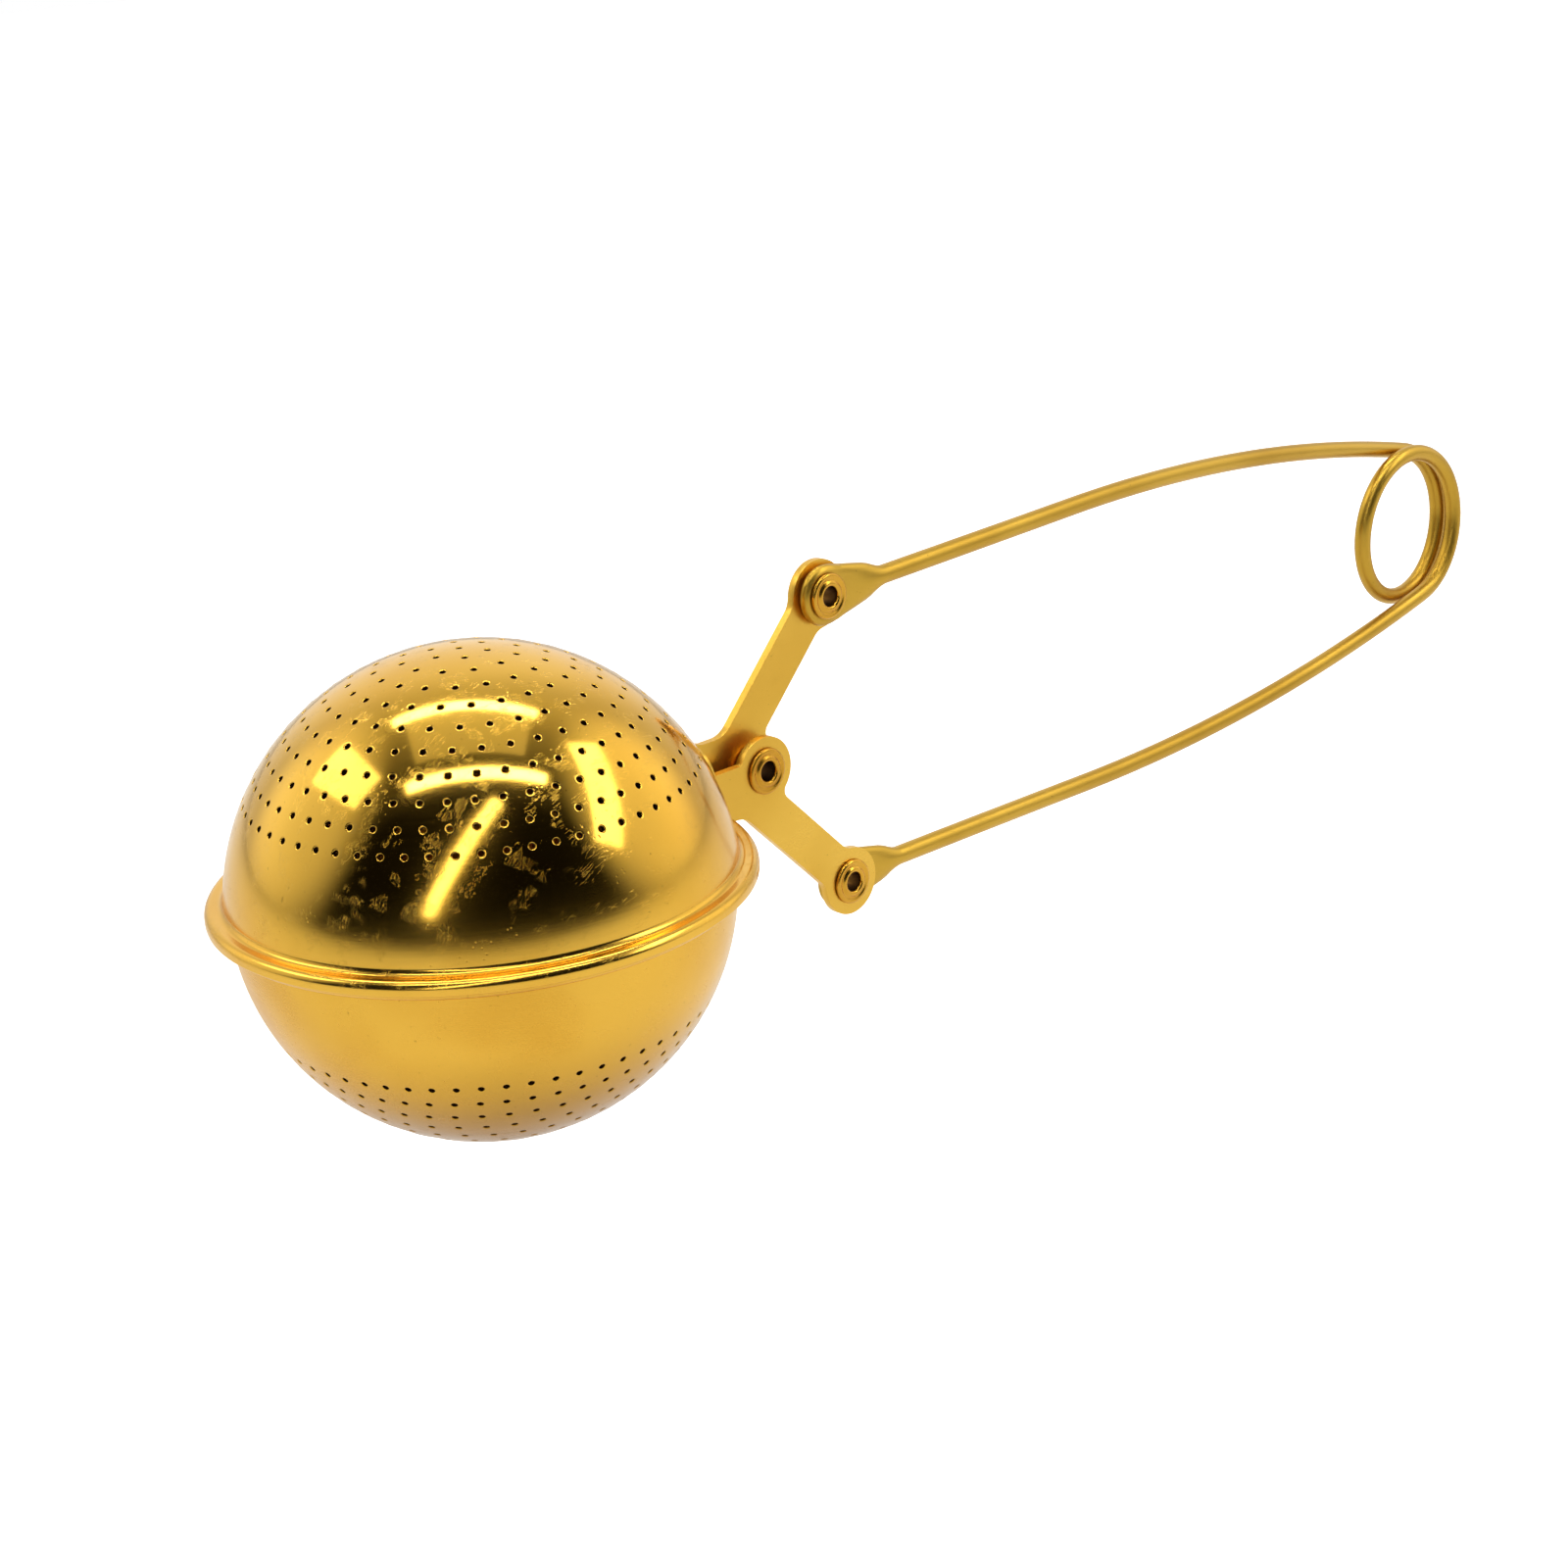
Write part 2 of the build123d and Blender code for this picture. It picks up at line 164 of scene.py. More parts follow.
def bowl(name, radius, centre_z, up, rings, path, outside, material, hole_shade_material):
    """Perforated bowl, with its hole walls in their own dark material, painted shade for the inside of the
    holes.

    path is the mid-line of the sheet's section, from the perforated field's edge to the sheet's end.
    outside is 1 where the left side of the path faces out of the bowl, and -1 where it faces in.
    """
    step, stretch = rings
    edge = math.radians(field_edge(rings))
    centre = np.array([0, 0, centre_z])

    def sphere_point(polar, turn):
        out = math.sin(polar)
        return np.array([out * math.cos(turn), out * math.sin(turn), up * math.cos(polar)])

    loops = np.array(HOLE_LOOPS)
    slopes = np.gradient(loops[:, 1], loops[:, 0])
    slopes[-1] = 0

    # One entry for each point of the field: direction from the centre, depth and normal.
    turns = 2 * math.pi * np.arange(COLUMNS) / COLUMNS
    directions = [sphere_point(edge, t) for t in turns]
    depths, normals = [0.0] * COLUMNS, list(directions)
    hole_axes, hole_walls = [], []
    for ring in range(HOLE_RINGS + 1):
        polar = math.radians(step * ring - stretch * ring**2)
        count = max(1, HOLES_PER_RING * ring)
        for k in range(count):
            axis = sphere_point(polar, 2 * math.pi * k / count + math.radians(RING_TWIST * ring))
            e1 = unit(np.cross(axis, [0.3, 0.2, 1.0] if abs(axis[2]) < 0.9 else [1.0, 0.2, 0]))
            e2 = np.cross(axis, e1)
            hole_axes.append(axis)
            hole_walls.append(len(directions))
            for (r, depth), slope in zip(HOLE_LOOPS, slopes):
                for j in range(HOLE_SIDES):
                    a = 2 * math.pi * j / HOLE_SIDES
                    out = math.cos(a) * e1 + math.sin(a) * e2
                    d = math.cos(r / radius) * axis + math.sin(r / radius) * out
                    directions.append(d)
                    depths.append(depth)
                    normals.append(unit(d + DIMPLE_TILT * slope * out))
    directions, depths, normals = np.array(directions), np.array(depths), np.array(normals)

    # The sheet between the holes, triangulated in a flat picture of the dome with the pole in its middle.
    polar = np.arccos(np.clip(up * directions[:, 2], -1, 1))
    turn = np.arctan2(directions[:, 1], directions[:, 0])
    flat = np.stack([polar * np.cos(turn), polar * np.sin(turn)], axis=1)
    used, fences = list(range(COLUMNS)), [(i, (i + 1) % COLUMNS) for i in range(COLUMNS)]
    for first in hole_walls:
        rim = first + (len(HOLE_LOOPS) - 1) * HOLE_SIDES
        at = len(used)
        used += range(rim, rim + HOLE_SIDES)
        fences += [(at + j, at + (j + 1) % HOLE_SIDES) for j in range(HOLE_SIDES)]
    found = delaunay_2d_cdt([Vector(flat[i]) for i in used], fences, [], 0, 1e-7)
    origin = [used[o[0]] for o in found[3]]
    axis_directions = np.array(hole_axes)
    faces = []
    for tri in found[2]:
        ids = [origin[i] for i in tri]
        middle = unit(directions[ids].mean(axis=0))
        if np.min(np.linalg.norm(axis_directions - middle, axis=1)) * radius < 0.9 * HOLE_LOOPS[-1][0]:
            continue
        faces.append(ids)
    for first in hole_walls:
        for loop in range(len(HOLE_LOOPS) - 1):
            for j in range(HOLE_SIDES):
                at = first + loop * HOLE_SIDES
                a, b = at + j, at + (j + 1) % HOLE_SIDES
                faces.append([a, b, b + HOLE_SIDES, a + HOLE_SIDES])
    outer = centre + directions * (radius - depths)[:, None]
    inner = centre + directions * (radius - SHEET - depths)[:, None]
    shift = len(outer)
    points = [outer, inner]
    corners = [[normals[i] for i in f] for f in faces]
    under = [[i + shift for i in f] for f in faces]
    corners += [[-normals[i - shift] for i in f] for f in under]
    faces = faces + under
    first_wall = len(faces)
    for first, axis in zip(hole_walls, hole_axes):
        for j in range(HOLE_SIDES):
            a, b = first + j, first + (j + 1) % HOLE_SIDES
            na, nb = [unit(axis * (directions[i] @ axis) - directions[i]) for i in (a, b)]
            faces.append([a, b, b + shift, a + shift])
            corners.append([na, nb, nb, na])
    walls = range(first_wall, len(faces))

    # The rest of the sheet is turned: down the outside, round the cut edge, and back up the inside.
    half = SHEET / 2
    out_rows = side_of(path, outside * half, outside)
    in_rows = side_of(path, -outside * half, -outside)
    end_out, end_in = out_rows[-1], in_rows[-1]
    tip = (end_out[:2] + end_in[:2]) / 2
    n = end_out[2:]
    previous = (out_rows[-2][:2] + in_rows[-2][:2]) / 2
    ahead = (tip - previous) / np.linalg.norm(tip - previous)
    cap = []
    for k in range(1, CAP_STEPS):
        a = math.pi * k / CAP_STEPS
        d = math.cos(a) * n + math.sin(a) * ahead
        cap.append((*(tip + half * d), *d))
    section = np.vstack([out_rows[1:], cap, in_rows[:0:-1]])
    cos_t, sin_t = np.cos(turns), np.sin(turns)
    base = 2 * shift
    ring_points, ring_normals = [], []
    for r, z, nr, nz in section:
        ring_points.append(np.stack([r * cos_t, r * sin_t, np.full(COLUMNS, z)], axis=1))
        ring_normals.append(np.stack([nr * cos_t, nr * sin_t, np.full(COLUMNS, nz)], axis=1))
    points += ring_points
    rows = [(np.arange(COLUMNS), normals[:COLUMNS])]
    rows += [(base + k * COLUMNS + np.arange(COLUMNS), ring_normals[k]) for k in range(len(section))]
    rows += [(shift + np.arange(COLUMNS), -normals[:COLUMNS])]
    for (ids0, n0), (ids1, n1) in zip(rows, rows[1:]):
        for j in range(COLUMNS):
            j2 = (j + 1) % COLUMNS
            faces.append([ids0[j], ids0[j2], ids1[j2], ids1[j]])
            corners.append([n0[j], n0[j2], n1[j2], n1[j]])
    shell = new_mesh(name, np.vstack(points), faces, corners, material)
    # The hole walls take the second, dark material: painted shade inside the holes.
    shell.data.materials.append(hole_shade_material)
    for i in walls:
        shell.data.polygons[i].material_index = 1
    return shell


def upper_bowl(material, hole_shade_material):
    r = UPPER_RADIUS - SHEET / 2
    a = math.degrees(math.asin((FLANGE_Z + FLANGE_FILLET - UPPER_CENTRE) / (r + FLANGE_FILLET)))
    fillet_x = (r + FLANGE_FILLET) * math.cos(math.radians(a))
    shoulder_x = LIP_RADIUS - SHEET / 2 - LIP_SHOULDER
    lip_x = LIP_RADIUS - SHEET / 2
    path = [
        ("arc", 0, UPPER_CENTRE, r, 90 - field_edge(UPPER_RINGS), a),
        ("arc", fillet_x, FLANGE_Z + FLANGE_FILLET, FLANGE_FILLET, 180 + a, 270),
        ("line", fillet_x, FLANGE_Z, shoulder_x, FLANGE_Z),
        ("arc", shoulder_x, FLANGE_Z - LIP_SHOULDER, LIP_SHOULDER, 90, 0),
        ("line", lip_x, FLANGE_Z - LIP_SHOULDER, lip_x, LIP_BOTTOM + SHEET / 2),
    ]
    return bowl("upper_bowl_shell", UPPER_RADIUS, UPPER_CENTRE, 1, UPPER_RINGS, path, 1,
                material, hole_shade_material)


def lower_bowl(material, hole_shade_material):
    r = LOWER_RADIUS - SHEET / 2
    b = math.degrees(math.asin((RIM_WEB_Z - RIM_FILLET - LOWER_CENTRE) / (r + RIM_FILLET)))
    fillet_x = (r + RIM_FILLET) * math.cos(math.radians(b))
    curl_x = RIM_RADIUS - SHEET / 2 - RIM_CURL
    path = [
        ("arc", 0, LOWER_CENTRE, r, -90 + field_edge(LOWER_RINGS), b),
        ("arc", fillet_x, RIM_WEB_Z - RIM_FILLET, RIM_FILLET, 180 + b, 90),
        ("line", fillet_x, RIM_WEB_Z, curl_x, RIM_WEB_Z),
        ("arc", curl_x, RIM_WEB_Z + RIM_CURL, RIM_CURL, -90, RIM_CURL_END - CURL_SHORTER),
    ]
    return bowl("lower_bowl_shell", LOWER_RADIUS, LOWER_CENTRE, -1, LOWER_RINGS, path, -1,
                material, hole_shade_material)


# ---- rivets --------------------------------------------------------------------------------------

# Radius and height over the plate of a tubular rivet's rolled head, from its bore out to its rim.
HEAD = (
    (RIVET_BORE, -0.1), (RIVET_BORE, 0.16), (0.99, 0.31), (1.09, 0.41), (1.24, 0.45), (1.39, 0.41),
    (1.49, 0.31), (1.57, 0.25), (1.66, 0.24), (1.75, 0.29), (1.88, 0.34), (2.02, 0.35), (2.14, 0.30),
    (2.22, 0.20), (HEAD_RADIUS, 0.10), (2.23, 0.02), (2.16, 0.0), (BARREL_RADIUS, 0.0),
)
SHOULDER_CHAMFER = 0.1


def rivet(name, x, z, y_low, y_high, shoulder=None):
    """Tubular rivet along Y with a rolled head at each end, and a shoulder between two values of y."""
    section = [(r, y_high + h) for r, h in HEAD]
    if shoulder:
        low, high = shoulder
        face = SHOULDER_RADIUS - SHOULDER_CHAMFER
        section += [(BARREL_RADIUS, high), (face, high), (SHOULDER_RADIUS, high - SHOULDER_CHAMFER)]
        section += [(SHOULDER_RADIUS, low + SHOULDER_CHAMFER), (face, low), (BARREL_RADIUS, low)]
    section += [(r, y_low - h) for r, h in reversed(HEAD)]
    sides = RIVET_SIDES
    points, faces = [], []
    for r, y in section:
        for j in range(sides):
            a = 2 * math.pi * j / sides
            points.append((x + r * math.cos(a), y, z + r * math.sin(a)))
    rows = len(section)
    for k in range(rows):
        for j in range(sides):
            a, b = k * sides + j, k * sides + (j + 1) % sides
            c, d = (k + 1) % rows * sides + (j + 1) % sides, (k + 1) % rows * sides + j
            faces.append((a, d, c, b))
    turned = new_mesh(name, points, faces, material=RIVET, sharp=50)
    # The bore's faces take a dark second material: painted shade inside the hollow rivet.
    turned.data.materials.append(BORE_SHADE)
    for i, face in enumerate(faces):
        if all(math.hypot(points[p][0] - x, points[p][2] - z) < RIVET_BORE + 0.01 for p in face):
            turned.data.polygons[i].material_index = 1
    return turned


# ---- spring wire ---------------------------------------------------------------------------------

# Half width of the flattened end, by distance from the eye's centre.
NECK = (
    (2.2, 2.58), (3.2, 2.38), (4.4, 2.12), (5.3, 1.92), (6.1, 1.66), (6.8, 1.34), (7.4, 1.09),
    (8.0, WIRE_RADIUS),
)
FLATS = 9  # points across a flat side of the wire's cross-section
ROUNDS = 3  # and round each narrow side
AROUND = 2 * (FLATS + ROUNDS)
STRAIGHT_STEPS, BOW_STEPS, COIL_STEPS = 18, 46, 132  # stations of the centreline
NECK_GAP = 0.8  # mm from the neck's last point to the first station
EYE_STEPS = 24  # points on the arc round the eye
EYE_START, EYE_TURN = -78.0, -204.0  # degrees where the arc starts, and that it turns
NECK_CORNER, NECK_FACING = (1.35, 2.25), (0.2, 0.98)  # point between arc and neck, and the way its edge faces
EYE_CHAMFER = (1.05, 0.85)  # share of the hole's radius, and of the half thickness at the hole's edge
UPPER_EYE_CLEARANCE, LOWER_EYE_CLEARANCE = 0.45, 0.06  # round the rivets' barrels


def arm_geometry():
    """Length of an arm's straight part, the bow's centre and the angle where it meets the coil."""
    e = math.radians(ARM_RISE)
    low, high = 0.0, COIL_X
    for _ in range(60):
        t = (low + high) / 2
        x = t * math.cos(e) + BOW_RADIUS * math.sin(e)
        z = t * math.sin(e) - BOW_RADIUS * math.cos(e)
        if math.hypot(x - COIL_X, z + END_Z) > BOW_RADIUS - COIL_RADIUS:
            low = t
        else:
            high = t
    return t, x, z, math.degrees(math.atan2(-END_Z - z, COIL_X - x))


def arm_line():
    """Centreline of the upper arm from the neck to the coil, from the eye's centre, and the coil's start.

    The start is the angle where the arm meets the coil, and how far off the middle plane the wire is there.
    """
    straight, bow_x, bow_z, meet = arm_geometry()
    e = math.radians(ARM_RISE)
    coil_y = COIL_PITCH * (180 + meet) / 360
    stations = np.linspace(NECK[-1][0] + NECK_GAP, straight, STRAIGHT_STEPS, endpoint=False)
    rows = [(t * math.cos(e), t * math.sin(e)) for t in stations]
    for k in range(BOW_STEPS):
        angle = math.radians(90 + ARM_RISE + (meet - 90 - ARM_RISE) * k / BOW_STEPS)
        rows.append((bow_x + BOW_RADIUS * math.cos(angle), bow_z + BOW_RADIUS * math.sin(angle)))
    return [(x, coil_y * (x / COIL_X) ** 2, z) for x, z in rows], meet, coil_y


def coil_line(meet, coil_y):
    """Centreline of the whole coil from the upper arm to the lower one, from the upper eye's centre."""
    total = 2 * (180 + meet)
    rows = []
    for k in range(COIL_STEPS + 1):
        angle = math.radians(meet - total * k / COIL_STEPS)
        y = coil_y - 2 * coil_y * k / COIL_STEPS
        rows.append((COIL_X + COIL_RADIUS * math.cos(angle), y, -END_Z + COIL_RADIUS * math.sin(angle)))
    return rows


def cross_section(width, thick, roundness):
    """Points round the wire's section as (across, through).

    The section is a strip with round edges where roundness is 0, and an ellipse where it is 1.
    """
    flat = width - thick
    strip, round_ = [], []
    for k in range(FLATS):
        strip.append((flat * (1 - 2 * k / (FLATS - 1)), thick))
    for k in range(1, ROUNDS + 1):
        a = math.pi * k / (ROUNDS + 1)
        strip.append((-flat - thick * math.sin(a), thick * math.cos(a)))
    for k in range(FLATS):
        strip.append((-flat * (1 - 2 * k / (FLATS - 1)), -thick))
    for k in range(1, ROUNDS + 1):
        a = math.pi * k / (ROUNDS + 1)
        strip.append((flat + thick * math.sin(a), -thick * math.cos(a)))
    for k in range(AROUND):
        a = math.radians(30 + 360 / AROUND * k)
        round_.append((width * math.cos(a), thick * math.sin(a)))
    return (1 - roundness) * np.array(strip) + roundness * np.array(round_)


def wire_end(side, hole_radius):
    """Holed eye and tapered neck of one end.

    It returns the points, the faces and the open ring of points where the wire goes on.
    """
    e = math.radians(ARM_RISE)
    eye = np.array([PIVOT_X + END_X, 0, PIVOT_Z + side * END_Z])
    along = np.array([math.cos(e), 0, side * math.sin(e)])
    across = np.array([-math.sin(e), 0, side * math.cos(e)])
    through = np.array([0, 1.0, 0])
    points, faces = [], []

    def put(u, w, y):
        points.append(eye + u * along + w * across + y * through)
        return len(points) - 1

    half = PADDLE_THICKNESS / 2
    mouth, mouth_half = NECK[0]
    flat = mouth_half - half
    # Columns round the eye: where the flat side ends, and which way its rounded edge faces.
    columns = [((mouth, flat * (1 - 2 * k / (FLATS - 1))), (0, 1 if k == 0 else -1)) for k in range(FLATS)]
    inner = EYE_RADIUS - half
    (corner_u, corner_w), (facing_u, facing_w) = NECK_CORNER, NECK_FACING
    wider, sunk = EYE_CHAMFER
    columns.append(((corner_u, -corner_w), (facing_u, -facing_w)))
    for k in range(EYE_STEPS):
        a = math.radians(EYE_START + EYE_TURN * k / (EYE_STEPS - 1))
        columns.append(((inner * math.cos(a), inner * math.sin(a)), (math.cos(a), math.sin(a))))
    columns.append((NECK_CORNER, NECK_FACING))
    levels = []
    for (qu, qw), (nu, nw) in columns:
        a = math.atan2(qw, qu)
        hole_u, hole_w = hole_radius * math.cos(a), hole_radius * math.sin(a)
        strip = []
        for y in (half, -half):
            rows = [(hole_u, hole_w, sunk), (hole_u * wider, hole_w * wider, 1.0)]
            rows += [(hole_u + (qu - hole_u) * t, hole_w + (qw - hole_w) * t, 1.0) for t in (0.5, 1.0)]
            strip.append([put(u, w, y * s) for u, w, s in rows])
        edge = []
        for k in range(1, ROUNDS + 1):
            b = math.pi * k / (ROUNDS + 1)
            reach = half * math.sin(b)
            edge.append(put(qu + nu * reach, qw + nw * reach, half * math.cos(b)))
        levels.append((strip[0], edge, strip[1]))
    last = FLATS - 1
    total = len(columns)
    for k in range(total):
        (top0, edge0, low0), (top1, edge1, low1) = levels[k], levels[(k + 1) % total]
        for a0, a1 in ((top0, top1), (low0, low1)):
            for i in range(3):
                faces.append((a0[i], a0[i + 1], a1[i + 1], a1[i]))
        faces.append((top0[0], low0[0], low1[0], top1[0]))
        if k < last:
            continue
        chain0, chain1 = [top0[3], *edge0, low0[3]], [top1[3], *edge1, low1[3]]
        for i in range(len(chain0) - 1):
            faces.append((chain0[i], chain0[i + 1], chain1[i + 1], chain1[i]))
    ring = [levels[k][0][3] for k in range(FLATS)] + list(levels[last][1])
    ring += [levels[k][2][3] for k in range(last, -1, -1)] + list(reversed(levels[0][1]))
    # Unused edge points of the columns inside the mouth are dropped later, with any other loose point.
    span = NECK[-1][0] - mouth
    for u, width in NECK[1:]:
        t = (u - mouth) / span
        ease = t * t * (3 - 2 * t)
        thick = half + (WIRE_RADIUS - half) * ease
        section = cross_section(width, thick, ease)
        next_ring = [put(u, w, y) for w, y in section]
        for i in range(AROUND):
            j = (i + 1) % AROUND
            faces.append((ring[i], ring[j], next_ring[j], next_ring[i]))
        ring = next_ring
    return points, faces, ring


def drop_loose(points, faces):
    """Points that a face uses, and the faces renumbered for them."""
    used = sorted({i for f in faces for i in f})
    place = {old: new for new, old in enumerate(used)}
    return [points[i] for i in used], [tuple(place[i] for i in f) for f in faces]


def spring_wire(material):
    """The whole wire: eye, neck, bowed arm, coil, bowed arm, neck and eye, in one skin."""
    points, faces, ring = wire_end(1, BARREL_RADIUS + UPPER_EYE_CLEARANCE)
    low_points, low_faces, low_ring = wire_end(-1, BARREL_RADIUS + LOWER_EYE_CLEARANCE)
    shift = len(points)
    points += low_points
    faces += [tuple(i + shift for i in f) for f in low_faces]
    low_ring = [i + shift for i in low_ring]

    arm, meet, coil_y = arm_line()
    base = np.array([PIVOT_X + END_X, 0, PIVOT_Z + END_Z])
    upper = [base + np.array(p) for p in arm]
    coil = [base + np.array(p) for p in coil_line(meet, coil_y)]
    mirror = np.array([1, -1, -1.0])
    axis_point = np.array([0, 0, PIVOT_Z])
    lower = [(p - axis_point) * mirror + axis_point for p in reversed(upper)]
    line = np.array(upper + coil + lower)
    tangents = unit(np.gradient(line, axis=0))
    across = unit(np.cross(tangents, [0, 1.0, 0]))
    across *= np.sign(across[0][2])
    through = np.cross(across, tangents)
    through *= np.sign(through[0][1])
    circle = cross_section(WIRE_RADIUS, WIRE_RADIUS, 1.0)
    for p, a, b in zip(line, across, through):
        start = len(points)
        points += [p + w * a + y * b for w, y in circle]
        next_ring = list(range(start, start + AROUND))
        for i in range(AROUND):
            j = (i + 1) % AROUND
            faces.append((ring[i], ring[j], next_ring[j], next_ring[i]))
        ring = next_ring
    # The last ring is joined to the lower end's ring at the turn that brings their points closest.
    here, there = np.array([points[i] for i in ring]), np.array([points[i] for i in low_ring])
    choices = []
    for way in (1, -1):
        for turn in range(AROUND):
            order = [(turn + way * k) % AROUND for k in range(AROUND)]
            choices.append((np.linalg.norm(here - there[order], axis=1).sum(), order))
    order = min(choices, key=lambda c: c[0])[1]
    for i in range(AROUND):
        j = (i + 1) % AROUND
        faces.append((ring[i], ring[j], low_ring[order[j]], low_ring[order[i]]))
    points, faces = drop_loose(points, faces)
    return new_mesh("spring_wire", points, faces, material=material, sharp=45)


# ---- materials -----------------------------------------------------------------------------------


class Shader:
    """Small helper for building a node material."""

    def __init__(self, name):
        self.material = bpy.data.materials.new(name)
        self.material.use_nodes = True
        self.tree = self.material.node_tree
        self.surface = self.tree.nodes["Principled BSDF"]

    def node(self, kind, inputs=(), **settings):
        n = self.tree.nodes.new(kind)
        for key, value in settings.items():
            setattr(n, key, value)
        for key, value in dict(inputs).items():
            if isinstance(value, bpy.types.NodeSocket):
                self.tree.links.new(value, n.inputs[key])
            else:
                n.inputs[key].default_value = value
        return n

    def math(self, operation, a, b=0.0):
        return self.node("ShaderNodeMath", {0: a, 1: b}, operation=operation).outputs[0]

    def noise(self, vector, scale, detail=2.0, rough=0.5):
        inputs = {"Vector": vector, "Scale": scale, "Detail": detail, "Roughness": rough}
        return self.node("ShaderNodeTexNoise", inputs).outputs["Fac"]

    def ramp(self, value, low, high, out_low=0.0, out_high=1.0):
        inputs = {"Value": value, "From Min": low, "From Max": high, "To Min": out_low, "To Max": out_high}
        return self.node("ShaderNodeMapRange", inputs, interpolation_type="SMOOTHSTEP").outputs["Result"]

    def scaled(self, vector, scale, rotation=(0, 0, 0)):
        inputs = {"Vector": vector, "Rotation": rotation, "Scale": scale}
        return self.node("ShaderNodeMapping", inputs).outputs["Vector"]

    def link(self, socket, name):
        self.tree.links.new(socket, self.surface.inputs[name])


def gold(name, colour, deep, roughness, rough_spread, grain, grain_depth, scratches=0.0, pits=0.0, rim=None,
         pole_shade=None):
    """Titanium-gold coated steel.

    grain is "turned" for brushing round Z, "long" for rolling lines along X, or None.
    grain_depth, scratches and pits are depths in mm.
    rim is (polished z, satin z, satin roughness), heights in mm, for a bowl that is polished at its pole and
    left satin at its rim.
    The pole-shade argument is (unshaded z, shaded z, colour, most), heights in mm, for a bowl given painted
    shade
    towards its pole: its colour darkens there in place of the shadowed floor that it would reflect.
    """
    s = Shader(name)
    s.surface.inputs["Metallic"].default_value = 1.0
    position = s.node("ShaderNodeTexCoord").outputs["Object"]
    broad = s.noise(position, 55.0, 3.0)

    # Colour: slow drift of the coating's tone, darker in tiny specks.
    mix = s.node("ShaderNodeMix", {"Factor": s.ramp(broad, 0.35, 0.68)}, data_type="RGBA")
    mix.inputs[6].default_value = (*colour, 1)
    mix.inputs[7].default_value = (*deep, 1)
    tone = mix.outputs[2]
    speck = s.ramp(s.noise(position, 2600.0, 2.0), 0.70, 0.78, 0.0, 0.45)
    spotted = s.node("ShaderNodeMix", {"Factor": speck, 6: tone}, data_type="RGBA")
    spotted.inputs[7].default_value = (*[0.35 * c for c in deep], 1)
    tone = spotted.outputs[2]
    # Painted shade: the colour darkens towards the bowl's pole, standing in for the dark reflection of the
    # shadowed floor under it.
    if pole_shade:
        unshaded_z, shaded_z, shade_colour, most = pole_shade
        height = s.node("ShaderNodeSeparateXYZ", {0: position}).outputs["Z"]
        wobble = s.math("MULTIPLY", s.math("SUBTRACT", broad, 0.5), 0.008)
        share = s.ramp(s.math("ADD", height, wobble), unshaded_z * MM, shaded_z * MM, 0.0, most)
        shade_mix = s.node("ShaderNodeMix", {"Factor": share, 6: tone}, data_type="RGBA")
        shade_mix.inputs[7].default_value = (*shade_colour, 1)
        tone = shade_mix.outputs[2]
    s.link(tone, "Base Color")

    # Roughness: base, slow patches, and the satin rim.
    rough = s.ramp(broad, 0.3, 0.7, roughness - rough_spread, roughness + rough_spread)
    if rim:
        polished, satin, satin_rough = rim
        height = s.node("ShaderNodeSeparateXYZ", {0: position}).outputs["Z"]
        wobble = s.math("MULTIPLY", s.math("SUBTRACT", broad, 0.5), 0.006)
        share = s.ramp(s.math("ADD", height, wobble), polished * MM, satin * MM)
        rough = s.math("ADD", rough, s.math("MULTIPLY", share, satin_rough - roughness))

    bump = None

    def raise_by(height, distance):
        nonlocal bump
        inputs = {"Height": height, "Strength": 1.0, "Distance": distance * MM}
        if bump is not None:
            inputs["Normal"] = bump
        bump = s.node("ShaderNodeBump", inputs).outputs["Normal"]

    if grain == "turned":
        xyz = s.node("ShaderNodeSeparateXYZ", {0: position})
        around = s.math("ARCTAN2", xyz.outputs["Y"], xyz.outputs["X"])
        squares = [s.math("POWER", xyz.outputs[axis], 2.0) for axis in "XY"]
        out = s.math("SQRT", s.math("ADD", *squares))
        up_out = s.math("ADD", s.math("MULTIPLY", xyz.outputs["Z"], 5200.0), s.math("MULTIPLY", out, 2600.0))
        lines_at = s.node("ShaderNodeCombineXYZ", {0: s.math("MULTIPLY", around, 3.0), 1: up_out}).outputs[0]
        lines = s.noise(lines_at, 1.0, 3.0, 0.65)
    elif grain == "long":
        lines = s.noise(s.scaled(position, (260.0, 5200.0, 5200.0)), 1.0, 3.0, 0.6)
    else:
        lines = s.noise(position, 900.0, 4.0, 0.6)
    raise_by(lines, grain_depth)
    rough = s.math("ADD", rough, s.math("MULTIPLY", s.math("SUBTRACT", lines, 0.5), 0.5 * roughness))

    if scratches:
        total = None
        for turn, seed in ((0.5, 0.0), (1.3, 3.1), (2.2, 7.7), (2.9, 11.4)):
            at = s.scaled(position, (520.0, 9000.0, 1700.0), (turn, 0.7 * turn, turn + seed))
            bent = s.noise(at, 1.0, 1.5)
            line = s.ramp(s.math("ABSOLUTE", s.math("SUBTRACT", bent, 0.5)), 0.0, 0.012, 1.0, 0.0)
            gate = s.ramp(s.noise(s.scaled(position, (420.0,) * 3, (seed, turn, 0)), 1.0, 1.0), 0.60, 0.70)
            line = s.math("MULTIPLY", line, gate)
            total = line if total is None else s.math("MAXIMUM", total, line)
        raise_by(total, -scratches)
        rough = s.math("ADD", rough, s.math("MULTIPLY", total, 0.12))
    if pits:
        dots = s.node("ShaderNodeTexVoronoi", {"Vector": position, "Scale": 2100.0}).outputs["Distance"]
        keep = s.ramp(s.noise(position, 340.0, 1.0), 0.56, 0.66)
        pit = s.math("MULTIPLY", s.ramp(dots, 0.08, 0.26, 1.0, 0.0), keep)
        raise_by(pit, -pits)
        rough = s.math("ADD", rough, s.math("MULTIPLY", pit, 0.15))
    s.link(s.math("MAXIMUM", s.math("MINIMUM", rough, 0.6), 0.04), "Roughness")
    s.link(bump, "Normal")
    return s.material


